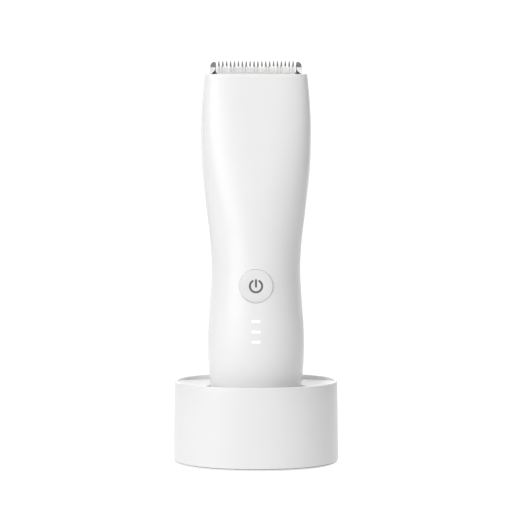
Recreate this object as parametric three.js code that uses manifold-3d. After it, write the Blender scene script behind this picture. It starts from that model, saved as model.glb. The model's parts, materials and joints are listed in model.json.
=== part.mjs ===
// A cordless body groomer standing in its charging dock.
// Millimetres, +Z up, the floor at z = 0, the front of the groomer faces -Y.

import * as THREE from "three";
import { mergeVertices } from "three/addons/utils/BufferGeometryUtils.js";
import Module from "manifold-3d";

const wasm = await Module();
wasm.setup();

// ---------------------------------------------------------------- driving dimensions

const gap = 0.3; // air between two parts that would touch
const wall = 2.0; // moulded wall thickness

const dock = {
  height: 32.2,
  halfWidthBase: 33.0,
  halfWidthTop: 32.5,
  depthRatio: 0.855, // plan depth over plan width
  power: 2.2, // roundness of the plan: 2 is an ellipse, more is squarer
  shellBottom: 1.1,
  plateBottom: 0.3,
  rimWall: 1.3,
  rimRound: 0.4,
  ledge: 27.9, // height of the inner ledge the tray rests on
};

const handle = {
  foot: 11.3, // underside of the groomer as it stands in the dock
  footRound: 3.2,
  top: 153.7, // top edge of the two case halves, at the front
  topSlope: 0.13, // the top edge climbs this much per millimetre towards the back
  seam: 2.0, // the case halves part behind the middle, at this y
  halfSeam: 0.4, // half the seam's width, seal included
  sealHalf: 0.15,
};

const tray = {
  floor: handle.foot - gap,
  wellWall: 1.6,
  edgeDrop: 1.8, // the tray's edge lies this far under the rim at the front and back
  mouth: 29.5, // height of the well's mouth
};

const button = { height: 70.6, radius: 6.65, thickness: 1.6 };
const lightBar = { width: 3.9, tall: 1.5, heights: [56.85, 52.75, 48.85], inner: 13.0 };

const motor = { bottom: 104, top: 129, halfWidth: 10, halfDepth: 7.7, axisY: 1.9 };
const crank = { throw: 0.5, pinRadius: 0.7, pinTop: 147.6 };
const battery = { radius: 9, bottom: 30, top: 95, axisY: 2.5 };

const head = {
  wall: 1.8,
  floorBottom: 140.3,
  floorTop: 141.8,
  carrierBottom: 142.1,
  carrierTop: 153.2,
};

const comb = {
  teeth: 20,
  pitch: 1.56,
  front: 0.5,
  back: 1.7,
  bottom: 149.0,
  shoulder: 154.3, // above this the plate widens over the case
  root: 155.3,
  tip: 160.0,
  halfWidth: 18.2,
  innerHalfWidth: 16.0,
  guardInner: 15.9,
  guardTop: 159.55,
  guardRound: 1.7,
};

const cutter = {
  teeth: 27,
  pitch: 1.165,
  halfWidth: 15.5,
  travel: 0.5,
  front: -1.2,
  back: 0.2,
  bottom: 144.0,
  root: 154.9,
  tip: 157.6,
};

const footPad = { inset: 11, bottomInset: 11.3, top: 1.4 };
const socketHole = { width: 9.6, tall: 3.9, z: 8.75 };
const baseScrew = { x: 27.2, shank: 0.9, headRadius: 2.1, headBottom: 1.9, headTop: 2.9, end: 10 };
const contactPlug = { width: 13.4, depth: 5.4 };
const chassis = { front: -7.9, back: -6.9, bottom: 20.5, top: 128.0, screws: [24.0, 101.3] };
const bladeScrew = { x: 11, z: 151.2 };
const pillar = { inner: 16.35, outer: 17.65, lowTop: 154.1, highTop: 155.5 };
const guardFacet = { reach: -1.9, foot: 154.5, top: 157.45 };
const chargePin = { x: 4, y: -2, radius: 0.8, tip: 11.5, bottom: 8.0 };

// Half-width, front reach and back reach of the case, and how square its front
// and back halves are, at a few heights. The case is smooth in between.
const caseStations = [
  { z: 5.0, width: 15.6, front: 13.6, back: 13.6, squareFront: 2.1, squareBack: 2.1 },
  { z: 20.0, width: 17.2, front: 15.4, back: 15.4, squareFront: 2.1, squareBack: 2.1 },
  { z: 36.0, width: 18.8, front: 16.7, back: 16.7, squareFront: 2.1, squareBack: 2.1 },
  { z: 45.0, width: 19.3, front: 17.0, back: 17.0, squareFront: 2.1, squareBack: 2.1 },
  { z: 54.0, width: 19.1, front: 16.8, back: 16.8, squareFront: 2.1, squareBack: 2.1 },
  { z: 66.0, width: 18.25, front: 16.3, back: 16.0, squareFront: 2.1, squareBack: 2.1 },
  { z: 77.5, width: 17.73, front: 15.9, back: 15.6, squareFront: 2.1, squareBack: 2.1 },
  { z: 88.0, width: 18.3, front: 15.6, back: 15.5, squareFront: 2.15, squareBack: 2.15 },
  { z: 100.0, width: 19.7, front: 15.0, back: 15.2, squareFront: 2.35, squareBack: 2.3 },
  { z: 117.0, width: 21.5, front: 13.5, back: 14.0, squareFront: 2.8, squareBack: 2.6 },
  { z: 131.0, width: 21.93, front: 11.6, back: 12.1, squareFront: 3.2, squareBack: 2.9 },
  { z: 143.0, width: 21.5, front: 9.8, back: 9.3, squareFront: 3.5, squareBack: 3.2 },
  { z: 154.8, width: 20.3, front: 8.0, back: 6.4, squareFront: 3.8, squareBack: 3.4 },
];

const looks = {
  whitePlastic: { color: 0xf1f1ef, roughness: 0.35, metalness: 0 },
  buttonPlastic: { color: 0xe6e6e5, roughness: 0.45, metalness: 0 },
  iconGrey: { color: 0x5a5c5e, roughness: 0.5, metalness: 0 },
  lightPipe: { color: 0xffffff, roughness: 0.25, metalness: 0 },
  greyRubber: { color: 0xb9babb, roughness: 0.8, metalness: 0 },
  darkRubber: { color: 0x2c2d2f, roughness: 0.85, metalness: 0 },
  blackPlastic: { color: 0x18191b, roughness: 0.5, metalness: 0 },
  innerPlastic: { color: 0xcfd1d2, roughness: 0.6, metalness: 0 },
  steel: { color: 0xb9bcbf, roughness: 0.3, metalness: 1 },
  zincSteel: { color: 0x9da1a5, roughness: 0.45, metalness: 1 },
  gold: { color: 0xd8b35a, roughness: 0.3, metalness: 1 },
  ceramic: { color: 0xf4f4f2, roughness: 0.2, metalness: 0 },
  circuit: { color: 0x1f5a3a, roughness: 0.55, metalness: 0 },
  batteryWrap: { color: 0x3f6f9a, roughness: 0.4, metalness: 0 },
};

// ---------------------------------------------------------------- solids

// A manifold solid from any closed three.js geometry.
function solid(geometry) {
  const bare = new THREE.BufferGeometry();
  bare.setAttribute("position", geometry.getAttribute("position"));
  if (geometry.index) {
    bare.setIndex(geometry.index);
  }
  const merged = mergeVertices(bare, 1e-4);
  const mesh = new wasm.Mesh({
    numProp: 3,
    vertProperties: new Float32Array(merged.getAttribute("position").array),
    triVerts: new Uint32Array(merged.index.array),
  });
  return new wasm.Manifold(mesh);
}

function union(first, ...others) {
  return others.reduce((whole, piece) => whole.add(piece), first);
}

function cut(body, ...tools) {
  return tools.reduce((rest, tool) => rest.subtract(tool), body);
}

function block([x0, x1], [y0, y1], [z0, z1]) {
  const geometry = new THREE.BoxGeometry(x1 - x0, y1 - y0, z1 - z0);
  geometry.translate((x0 + x1) / 2, (y0 + y1) / 2, (z0 + z1) / 2);
  return solid(geometry);
}

// A straight extrusion of an outline in X and Y, from z0 to z1.
function prism(shape, z0, z1, curveSegments = 4) {
  const settings = { depth: z1 - z0, bevelEnabled: false, curveSegments };
  const geometry = new THREE.ExtrudeGeometry(shape, settings);
  geometry.translate(0, 0, z0);
  return solid(geometry);
}

// The same, for an outline in X and Z that runs from y0 (front) to y1 (back).
function frontPrism(shape, y0, y1, curveSegments = 4) {
  return prism(shape, -y1, -y0, curveSegments).rotate([90, 0, 0]);
}

// An extrusion along X between x0 and x1, of an outline given as [y, z] points.
function sidePrism(points, x0, x1) {
  const [low, high] = [x0, x1].sort((a, b) => a - b);
  return prism(shapeThrough(points), low, high).rotate([90, 0, 0]).rotate([0, 0, 90]);
}

// A round solid about the Z axis through (x, y), from [radius, z] pairs.
function turned(profile, { x = 0, y = 0, segments = 24 } = {}) {
  const points = profile.map(([radius, z]) => new THREE.Vector2(radius, z));
  const geometry = new THREE.LatheGeometry(points, segments);
  geometry.rotateX(Math.PI / 2);
  geometry.translate(x, y, 0);
  return solid(geometry);
}

function rod(radius, z0, z1, place = {}) {
  return turned([[0, z0], [radius, z0], [radius, z1], [0, z1]], place);
}

// A round rod along Y, centred on (x, z).
function frontRod(radius, y0, y1, { x = 0, z = 0, segments = 24 } = {}) {
  return rod(radius, -y1, -y0, { segments }).rotate([90, 0, 0]).translate([x, 0, z]);
}

// An outline with round ends, as wide and tall as given.
function stadium(width, tall) {
  const radius = Math.min(width, tall) / 2;
  const dx = width / 2 - radius;
  const dy = tall / 2 - radius;
  const shape = new THREE.Shape();
  shape.moveTo(dx, -dy - radius);
  shape.absarc(dx, -dy, radius, -Math.PI / 2, 0, false);
  shape.absarc(dx, dy, radius, 0, Math.PI / 2, false);
  shape.absarc(-dx, dy, radius, Math.PI / 2, Math.PI, false);
  shape.absarc(-dx, -dy, radius, Math.PI, Math.PI * 1.5, false);
  return shape;
}

function roundedRectangle(width, tall, radius) {
  const dx = width / 2 - radius;
  const dy = tall / 2 - radius;
  const shape = new THREE.Shape();
  shape.absarc(dx, -dy, radius, -Math.PI / 2, 0, false);
  shape.absarc(dx, dy, radius, 0, Math.PI / 2, false);
  shape.absarc(-dx, dy, radius, Math.PI / 2, Math.PI, false);
  shape.absarc(-dx, -dy, radius, Math.PI, Math.PI * 1.5, false);
  return shape;
}

// A skin through a row of rings, each a list of [x, y, z] points in the same order.
// The skin closes on itself when `loop` is set, and is capped at both ends if not.
function loft(rings, loop = false) {
  const count = rings[0].length;
  const points = rings.flat();
  const triangles = [];
  const last = loop ? rings.length : rings.length - 1;
  for (let row = 0; row < last; row += 1) {
    const low = row * count;
    const high = ((row + 1) % rings.length) * count;
    for (let i = 0; i < count; i += 1) {
      const j = (i + 1) % count;
      triangles.push([low + i, low + j, high + j], [low + i, high + j, high + i]);
    }
  }
  if (!loop) {
    const end = (rings.length - 1) * count;
    const firstCentre = points.push(middle(rings[0])) - 1;
    const lastCentre = points.push(middle(rings[rings.length - 1])) - 1;
    for (let i = 0; i < count; i += 1) {
      const j = (i + 1) % count;
      triangles.push([firstCentre, j, i], [lastCentre, end + i, end + j]);
    }
  }
  const inward = signedVolume(points, triangles) < 0;
  const order = inward ? triangles.map(([a, b, c]) => [a, c, b]) : triangles;
  const geometry = new THREE.BufferGeometry();
  geometry.setAttribute("position", new THREE.Float32BufferAttribute(points.flat(), 3));
  geometry.setIndex(order.flat());
  return solid(geometry);
}

function middle(ring) {
  return [0, 1, 2].map((axis) => ring.reduce((sum, point) => sum + point[axis], 0) / ring.length);
}

function signedVolume(points, triangles) {
  let total = 0;
  for (const [a, b, c] of triangles) {
    const [p, q, r] = [a, b, c].map((index) => new THREE.Vector3(...points[index]));
    total += p.dot(q.cross(r));
  }
  return total / 6;
}

// A closed ring: an ellipse squared off by `front` on its -Y half and by `back` on the other.
function ring({ halfWidth, front, back, squareFront, squareBack, z, count = 40 }) {
  const points = [];
  for (let i = 0; i < count; i += 1) {
    const turn = (2 * Math.PI * i) / count;
    const [c, s] = [Math.cos(turn), Math.sin(turn)];
    const power = s < 0 ? squareFront : squareBack;
    const reach = s < 0 ? front : back;
    const shrink = (Math.abs(c) ** power + Math.abs(s) ** power) ** (1 / power);
    points.push([(halfWidth * c) / shrink, (reach * s) / shrink, z]);
  }
  return points;
}

// ---------------------------------------------------------------- the case's form

// A smooth curve through the stations for one of their values, read at height z.
function caseValue(key, z) {
  const all = caseStations;
  const found = all.findIndex((station) => station.z >= z);
  const at = Math.min(Math.max(found < 0 ? all.length - 1 : found, 1), all.length - 1);
  const slope = (index) => {
    const before = all[Math.max(index - 1, 0)];
    const after = all[Math.min(index + 1, all.length - 1)];
    return (after[key] - before[key]) / (after.z - before.z);
  };
  const [low, high] = [all[at - 1], all[at]];
  const span = high.z - low.z;
  const u = (z - low.z) / span;
  const rise = (2 * u ** 3 - 3 * u ** 2 + 1) * low[key] + (3 * u ** 2 - 2 * u ** 3) * high[key];
  const lean = (u ** 3 - 2 * u ** 2 + u) * slope(at - 1) + (u ** 3 - u ** 2) * slope(at);
  return rise + lean * span;
}

// The case's outline at a height, drawn in by `inset`, or let out when it is negative.
function caseRing(z, inset = 0, height = z) {
  return ring({
    halfWidth: caseValue("width", z) - inset,
    front: caseValue("front", z) - inset,
    back: caseValue("back", z) - inset,
    squareFront: caseValue("squareFront", z),
    squareBack: caseValue("squareBack", z),
    z: height,
  });
}

// The same near the top edge, which climbs towards the back.
function topRing(drop, inset) {
  const frontReach = caseValue("front", handle.top);
  const level = caseRing(handle.top - drop, inset);
  return level.map(([x, y, z]) => [x, y, z + handle.topSlope * (y + frontReach)]);
}

// Rings around the foot's rounded edge, let out by `clearance` and dropped by `drop`.
function footRings(clearance = 0, drop = 0) {
  const steps = 4;
  const rings = [];
  for (let i = 0; i <= steps; i += 1) {
    const turn = (i / steps) * (Math.PI / 2);
    const inset = handle.footRound * (1 - Math.sin(turn)) - clearance;
    const z = handle.foot + handle.footRound * (1 - Math.cos(turn));
    rings.push(caseRing(z, inset, z - drop));
  }
  return rings;
}

// Straight pocket that the blade head drops into, drawn in by `inset` from the case's top outline.
function headPrism(z0, z1, inset) {
  return loft([caseRing(handle.top, inset, z0), caseRing(handle.top, inset, z1)]);
}

// ---------------------------------------------------------------- the dock

function dockRing(z, inset = 0, height = z) {
  const share = z / dock.height;
  const halfWidth = dock.halfWidthBase + (dock.halfWidthTop - dock.halfWidthBase) * share;
  return ring({
    halfWidth: halfWidth - inset,
    front: halfWidth * dock.depthRatio - inset,
    back: halfWidth * dock.depthRatio - inset,
    squareFront: dock.power,
    squareBack: dock.power,
    z: height,
  });
}

function dockShell() {
  const { height, rimRound, rimWall, ledge, shellBottom } = dock;
  const walls = loft([
    dockRing(shellBottom),
    dockRing(height / 2),
    dockRing(height - rimRound),
    dockRing(height, rimRound),
    dockRing(height, rimWall - rimRound / 2),
    dockRing(height - rimRound / 2, rimWall),
    dockRing(ledge, rimWall),
    dockRing(ledge, rimWall + 1.4),
    dockRing(ledge - 2, wall),
    dockRing(shellBottom, wall),
  ], true);
  const bosses = [-1, 1].map((side) => {
    const post = rod(2.6, 4.6, 12, { x: side * baseScrew.x, segments: 16 });
    const [near, far] = [28.6, 32.1].map((x) => side * x).sort((a, b) => a - b);
    const web = block([near, far], [-1, 1], [4.6, 12]);
    const pilot = rod(baseScrew.shank + gap, 4.0, 10.6, { x: side * baseScrew.x, segments: 16 });
    return cut(union(post, web), pilot);
  });
  const { width, tall, z } = socketHole;
  const opening = frontPrism(stadium(width, tall), 20, 30).translate([0, 0, z]);
  return cut(union(walls, ...bosses), opening);
}

// The tray's top edge lies level with the rim at both ends and dips along the front and back.
function trayEdgeHeight(x) {
  const reach = Math.abs(x) / dock.halfWidthTop;
  return dock.height - tray.edgeDrop * (1 - Math.min(reach, 1) ** 8);
}

// A ring part of the way from the well's mouth (0) to the tray's edge (1).
function dishRing(share) {
  const inner = caseRing(tray.mouth, -2.6);
  const outer = dockRing(dock.height, dock.rimWall + gap);
  return inner.map(([x, y], i) => {
    const [edgeX, edgeY] = outer[i];
    const rise = trayEdgeHeight(edgeX) - tray.mouth;
    return [x + (edgeX - x) * share, y + (edgeY - y) * share, tray.mouth + rise * share ** 2.2];
  });
}

// Where the left (-1) or right (1) charging pin and its contact stand.
function pinPlace(side, segments = 16) {
  return { x: side * chargePin.x, y: chargePin.y, segments };
}

function dockTray() {
  const clearance = 0.5;
  const outside = clearance + tray.wellWall;
  const bottom = tray.floor - 2;
  const dish = loft([
    ...footRings(clearance, gap),
    caseRing(19, -clearance - 0.1),
    caseRing(25, -clearance - 0.5),
    caseRing(28, -clearance - 1.1),
    caseRing(29, -clearance - 1.6, tray.mouth - 0.2),
    ...[0, 0.3, 0.6, 0.85, 1].map(dishRing),
    dockRing(dock.height, dock.rimWall + gap, dock.ledge + gap),
    dockRing(dock.height, dock.rimWall + 2.4, dock.ledge + gap),
    caseRing(27, -outside - 1.4, tray.mouth - tray.wellWall - 0.4),
    caseRing(22, -outside - 0.4),
    ...footRings(outside, 0).reverse().slice(0, -1),
    caseRing(handle.foot, handle.footRound - outside + 0.6, bottom),
  ]);
  const pinHoles = [-1, 1].map((side) => (
    rod(chargePin.radius + 0.4, bottom - 1, tray.floor + 1, pinPlace(side))
  ));
  return cut(dish, ...pinHoles);
}

function dockBasePlate() {
  const { shellBottom, plateBottom } = dock;
  const flangeTop = shellBottom - gap;
  const plate = loft([
    dockRing(plateBottom, 0.6),
    dockRing(plateBottom + 0.2, 0.4),
    dockRing(flangeTop, 0.4),
    dockRing(flangeTop, wall + gap),
    dockRing(4.2, wall + gap, 4.2),
  ]);
  const recessInset = footPad.inset - gap;
  const padRecess = loft([dockRing(0, recessInset), dockRing(0, recessInset, footPad.top + gap)]);
  const screwHoles = [-1, 1].map((side) => union(
    rod(baseScrew.headRadius + gap, 0, baseScrew.headTop + gap, { x: side * baseScrew.x, segments: 16 }),
    rod(baseScrew.shank + gap, 2, 6, { x: side * baseScrew.x, segments: 16 }),
  ));
  return cut(plate, padRecess, ...screwHoles);
}

function footPadSheet() {
  const { inset, bottomInset, top } = footPad;
  return loft([dockRing(0, bottomInset), dockRing(0, inset, 0.3), dockRing(0, inset, top)]);
}

function ballastPlate() {
  const cornerCuts = [-1, 1].map((side) => rod(4, 0, 12, { x: side * baseScrew.x, segments: 16 }));
  return cut(loft([dockRing(4.5, 6), dockRing(4.5, 6, 6)]), ...cornerCuts);
}

function dockBoard() {
  return block([-13, 13], [-12, 22.5], [6.3, 6.9]);
}

// The charging socket: a thin metal mouth with a contact tongue inside.
function chargingSocket() {
  const [front, back] = [18.2, 27.6];
  const shell = frontPrism(stadium(8.9, 3.2), front, back);
  const mouth = frontPrism(stadium(8.3, 2.6), front + 1, back + 1);
  const tongue = block([-3.3, 3.3], [front, back - 1.5], [-0.35, 0.35]);
  return union(cut(shell, mouth), tongue).translate([0, 0, socketHole.z]);
}

function pinBlock() {
  const bodyBlock = prism(roundedRectangle(14, 6, 1), 7.2, 8.7, 3).translate([0, chargePin.y, 0]);
  const holes = [-1, 1].map((side) => rod(chargePin.radius + gap, 6, 9.5, pinPlace(side)));
  return cut(bodyBlock, ...holes);
}

function chargePinBody(side) {
  const { radius, tip, bottom } = chargePin;
  const profile = [[0, bottom], [radius, bottom], [radius, tip - 0.4], [radius * 0.55, tip], [0, tip]];
  return turned(profile, pinPlace(side));
}

// A pan-head screw with a slot: it points along +Z and the head is at the bottom.
function screw({ headRadius, headThickness, shank, length }) {
  const body = turned([
    [0, 0],
    [headRadius * 0.8, 0],
    [headRadius, headThickness * 0.35],
    [headRadius, headThickness],
    [shank, headThickness],
    [shank, length - shank],
    [shank * 0.3, length],
    [0, length],
  ], { segments: 16 });
  const slotDepth = headThickness * 0.45;
  return cut(body, block([-headRadius * 0.7, headRadius * 0.7], [-0.25, 0.25], [-1, slotDepth]));
}

function dockBaseScrew(side) {
  const { headRadius, headBottom, headTop, shank, end } = baseScrew;
  const body = screw({
    headRadius,
    headThickness: headTop - headBottom,
    shank,
    length: end - headBottom,
  });
  return body.translate([side * baseScrew.x, 0, headBottom]);
}

// ---------------------------------------------------------------- the case

// Even heights between the foot's rounded edge and the head's top edge.
function caseHeights() {
  const steps = 20;
  const low = handle.foot + handle.footRound;
  const rise = (handle.top - low) / steps;
  return Array.from({ length: steps - 1 }, (_, i) => low + rise * (i + 1));
}

// The whole case before it is parted: foot, waist and head, with its hollow.
function caseBody() {
  const heights = caseHeights();
  const outside = loft([
    ...footRings(),
    ...heights.map((z) => caseRing(z)),
    topRing(0.3, 0),
    topRing(0, 0.3),
  ]);
  const hollowTop = head.floorBottom - 1.5;
  const hollowHeights = heights.filter((z, i) => z < hollowTop - 4 && i % 2 === 0);
  const inside = loft([
    caseRing(handle.foot + wall, wall + 2.4),
    caseRing(handle.foot + wall + 1.6, wall + 0.6),
    ...hollowHeights.map((z) => caseRing(z, wall)),
    caseRing(hollowTop, wall + 0.6),
    caseRing(handle.top, head.wall + 1.2, hollowTop + 1.2),
  ]);
  const pocket = headPrism(hollowTop + 1, handle.top + 4, head.wall);
  const plugHole = prism(stadium(contactPlug.width + 2 * gap, contactPlug.depth + 2 * gap), 10, 15);
  return cut(outside, inside, pocket, plugHole.translate([0, chargePin.y, 0]));
}

function behind(y) {
  return block([-40, 40], [y, 40], [0, 170]);
}

function inFrontOf(y) {
  return block([-40, 40], [-40, y], [0, 170]);
}

function frontShell(whole) {
  const bosses = chassis.screws.map((z) => {
    const reach = caseValue("front", z);
    const post = frontRod(2.5, -reach + 0.8, chassis.front - gap, { z, segments: 16 });
    const pilot = frontRod(1.2, -reach + wall + 0.4, 0, { z, segments: 16 });
    return { post, pilot };
  });
  const buttonHole = frontRod(button.radius + gap, -30, -8, { z: button.height, segments: 48 });
  const lightSlots = lightBar.heights.map((z) => (
    frontPrism(stadium(lightBar.width + 0.5, lightBar.tall + 0.5), -30, -8).translate([0, 0, z])
  ));
  const half = whole.intersect(inFrontOf(handle.seam - handle.halfSeam));
  const joined = union(half, ...bosses.map(({ post }) => post));
  return cut(joined, ...bosses.map(({ pilot }) => pilot), buttonHole, ...lightSlots);
}

function rearShell(whole) {
  return whole.intersect(behind(handle.seam + handle.halfSeam));
}

// A flat cord of rubber that runs down one side, under the foot and up the other.
function shellGasket(whole) {
  const { seam, sealHalf } = handle;
  const strip = whole.intersect(block([-40, 40], [seam - sealHalf, seam + sealHalf], [0, 170]));
  const inset = 0.15;
  const trimmed = loft([
    ...footRings(-inset, -inset),
    ...caseHeights().map((z) => caseRing(z, inset)),
    topRing(gap, inset),
  ]);
  return strip.intersect(trimmed);
}

function contactPlugBody() {
  const { width, depth } = contactPlug;
  const lower = prism(stadium(width, depth), handle.foot + 0.1, handle.foot + wall + 0.6);
  const flange = prism(stadium(width + 3, depth + 3), handle.foot + wall + gap, handle.foot + wall + 1.8);
  const pockets = [-1, 1].map((side) => rod(1.7, 10, 13.2, pinPlace(side, 20)));
  return cut(union(lower, flange).translate([0, chargePin.y, 0]), ...pockets);
}

function chargeContact(side) {
  return rod(1.4, 11.8, 12.9, pinPlace(side, 20));
}

// ---------------------------------------------------------------- button and lights

const buttonFace = -(caseValue("front", button.height) - 0.25);
const iconRecess = { radius: 3.3, depth: 0.5 };

function powerButton() {
  const back = buttonFace + button.thickness;
  const edge = 0.25;
  const profile = [
    [0, -back],
    [button.radius, -back],
    [button.radius, -buttonFace - edge],
    [button.radius - edge, -buttonFace],
    [0, -buttonFace],
  ];
  const disc = turned(profile, { segments: 48 }).rotate([90, 0, 0]);
  const stem = frontRod(1.8, back - 0.2, back + 0.8, { segments: 20 });
  const recess = frontRod(iconRecess.radius, buttonFace - 1, buttonFace + iconRecess.depth);
  return cut(union(disc, stem), recess).translate([0, 0, button.height]);
}

// The generic power sign: a ring open at the top, with an upright bar in the opening.
const icon = { radius: 2.35, stroke: 0.78, gapHalfAngle: 0.62, barTop: 2.75, barBottom: -0.55 };

// Points along an arc about [x, y], both ends included.
function arcPoints([x, y], radius, from, to, steps) {
  const points = [];
  for (let i = 0; i <= steps; i += 1) {
    const turn = from + ((to - from) * i) / steps;
    points.push([x + radius * Math.cos(turn), y + radius * Math.sin(turn)]);
  }
  return points;
}

function iconRing() {
  const { radius, stroke, gapHalfAngle } = icon;
  const [start, end] = [Math.PI / 2 + gapHalfAngle, Math.PI * 2.5 - gapHalfAngle];
  const tip = stroke / 2;
  const roundEnd = (at, first) => {
    const centre = [radius * Math.cos(at), radius * Math.sin(at)];
    return arcPoints(centre, tip, first, first + Math.PI, 6).slice(1, -1);
  };
  const outline = [
    ...arcPoints([0, 0], radius + tip, start, end, 20),
    ...roundEnd(end, end),
    ...arcPoints([0, 0], radius - tip, end, start, 20),
    ...roundEnd(start, start + Math.PI),
  ];
  const depth = [buttonFace, buttonFace + 0.3];
  return frontPrism(shapeThrough(outline), ...depth).translate([0, 0, button.height]);
}

function iconBar() {
  const { barTop, barBottom, stroke } = icon;
  const shape = stadium(stroke, barTop - barBottom);
  const centre = (barTop + barBottom) / 2;
  return frontPrism(shape, buttonFace, buttonFace + 0.3, 3).translate([0, 0, button.height + centre]);
}

function buttonSeal() {
  const z = button.height;
  return cut(frontRod(5.5, -13.2, -12.6, { z }), frontRod(2.1, -14, -12, { z, segments: 20 }));
}

function tactSwitch() {
  const housing = block([-3, 3], [-12.0, -9.9], [button.height - 3, button.height + 3]);
  return cut(housing, frontRod(1.5, -13, -10.8, { z: button.height, segments: 20 }));
}

function switchPlunger() {
  return frontRod(1.2, -13.3, -11.5, { z: button.height, segments: 20 });
}

function lightPipe(z) {
  const face = -(caseValue("front", z) - 0.05);
  return frontPrism(stadium(lightBar.width, lightBar.tall), face, -lightBar.inner).translate([0, 0, z]);
}

function ledModule() {
  return block([-1.6, 1.6], [-11.4, -9.9], [47.4, 58.3]);
}

// ---------------------------------------------------------------- inside the handle

function mainBoard() {
  return block([-10, 10], [-9.6, -8.4], [38, 98]);
}

// A thin spine with cross walls that hold the battery and the motor.
function chassisFrame() {
  const spine = block([-10.5, 10.5], [chassis.front, chassis.back], [chassis.bottom, chassis.top]);
  const crossWall = (z, thick) => block([-10.5, 10.5], [chassis.back - 0.5, 8.5], [z, z + thick]);
  const holes = chassis.screws.map((z) => frontRod(1.2, -9, -6, { z, segments: 16 }));
  const wireWindows = [[60, 68], [78, 86]].map(([low, high]) => block([-4, 4], [-9, -5], [low, high]));
  return cut(union(spine, crossWall(27.6, 2), crossWall(95.4, 2)), ...holes, ...wireWindows);
}

function chassisScrew(z) {
  const body = screw({ headRadius: 2.1, headThickness: 1.2, shank: 0.9, length: 7 });
  return body.rotate([90, 0, 0]).translate([0, chassis.back + gap + 1.2, z]);
}

function batteryCell() {
  const { radius, bottom, top, axisY } = battery;
  return turned([
    [0, bottom],
    [radius - 0.5, bottom],
    [radius, bottom + 0.5],
    [radius, top - 1.2],
    [radius - 0.6, top - 0.6],
    [3, top - 0.6],
    [3, top],
    [0, top],
  ], { y: axisY });
}

// A flat-sided motor can with a raised bearing boss at the top.
function motorCan() {
  const { bottom, top, halfWidth, halfDepth, axisY } = motor;
  const can = prism(roundedRectangle(2 * halfWidth, 2 * halfDepth, 6), bottom, top - 1.5);
  const boss = rod(3, top - 2, top, { segments: 20 });
  const tail = rod(4, bottom - 1.2, bottom + 0.2, { segments: 20 });
  const bore = rod(1.3, top - 6, top + 1, { segments: 16 });
  return cut(union(can, boss, tail), bore).translate([0, axisY, 0]);
}

function motorMount() {
  const z0 = motor.top - 1.2;
  const plate = prism(roundedRectangle(26, 14.5, 4), z0, z0 + 2);
  const hole = rod(3.4, z0 - 1, z0 + 3, { segments: 20 });
  return cut(plate, hole).translate([0, motor.axisY, 0]);
}

function motorShaft() {
  return rod(1.0, motor.top - 5, 137.2, { y: motor.axisY, segments: 16 });
}

// The crank on the shaft: a disc with a pin standing off its centre.
function crankDisc() {
  const [z0, z1] = [133.8, 139.0];
  const disc = rod(3.6, z0, z1, { segments: 24 });
  const pin = rod(crank.pinRadius, z1 - 0.5, crank.pinTop, { y: -crank.throw, segments: 16 });
  const bore = rod(1.3, z0 - 1, 137.6, { segments: 16 });
  return cut(union(disc, pin), bore).translate([0, motor.axisY, 0]);
}

// The floor of the head's pocket, which keeps clippings out of the handle.
function headFloor() {
  const plate = headPrism(head.floorBottom, head.floorTop, head.wall + gap);
  const hole = rod(2.4, head.floorBottom - 1, head.floorTop + 1, { y: motor.axisY, segments: 20 });
  return cut(plate, hole);
}

// ---------------------------------------------------------------- the blade head

function bladeCarrier() {
  const frame = headPrism(head.carrierBottom, head.carrierTop, head.wall + gap);
  const pillars = [-1, 1].map((side) => {
    const shape = new THREE.Shape();
    shape.moveTo(side * pillar.inner, head.carrierTop - 1);
    shape.lineTo(side * pillar.outer, head.carrierTop - 1);
    shape.lineTo(side * pillar.outer, pillar.lowTop);
    shape.lineTo(side * pillar.inner, pillar.highTop);
    return frontPrism(shape, cutter.front, cutter.back);
  });
  const clear = cutter.halfWidth + cutter.travel + gap;
  const bladeSlot = block([-clear, clear], [cutter.front - gap, comb.back + gap], [comb.bottom - gap, 160]);
  const cutterSlot = block(
    [-clear, clear],
    [cutter.front - gap, cutter.back + gap],
    [cutter.bottom - gap, 160],
  );
  const driveRoom = block([-5.6, 5.6], [cutter.front - gap, 3.6], [140, comb.bottom]);
  const springRoom = block([-8, 8], [-3.7, cutter.front], [cutter.bottom - gap, 160]);
  const screwRooms = [-1, 1].map((side) => union(
    frontRod(1.1, 0, 3, { x: side * bladeScrew.x, z: bladeScrew.z, segments: 16 }),
    frontRod(1.9, 2.7, 8, { x: side * bladeScrew.x, z: bladeScrew.z, segments: 16 }),
  ));
  return cut(union(frame, ...pillars), bladeSlot, cutterSlot, driveRoom, springRoom, ...screwRooms);
}

// One pointed tooth as outline points, from its left root to its right root.
function toothPoints(x, { halfBase, halfTop, root, shoulder, tip }) {
  return [
    [x - halfBase, root],
    [x - halfTop, shoulder],
    [x, tip],
    [x + halfTop, shoulder],
    [x + halfBase, root],
  ];
}

function shapeThrough(points) {
  const shape = new THREE.Shape();
  points.forEach(([x, y], i) => (i === 0 ? shape.moveTo(x, y) : shape.lineTo(x, y)));
  return shape;
}

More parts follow.
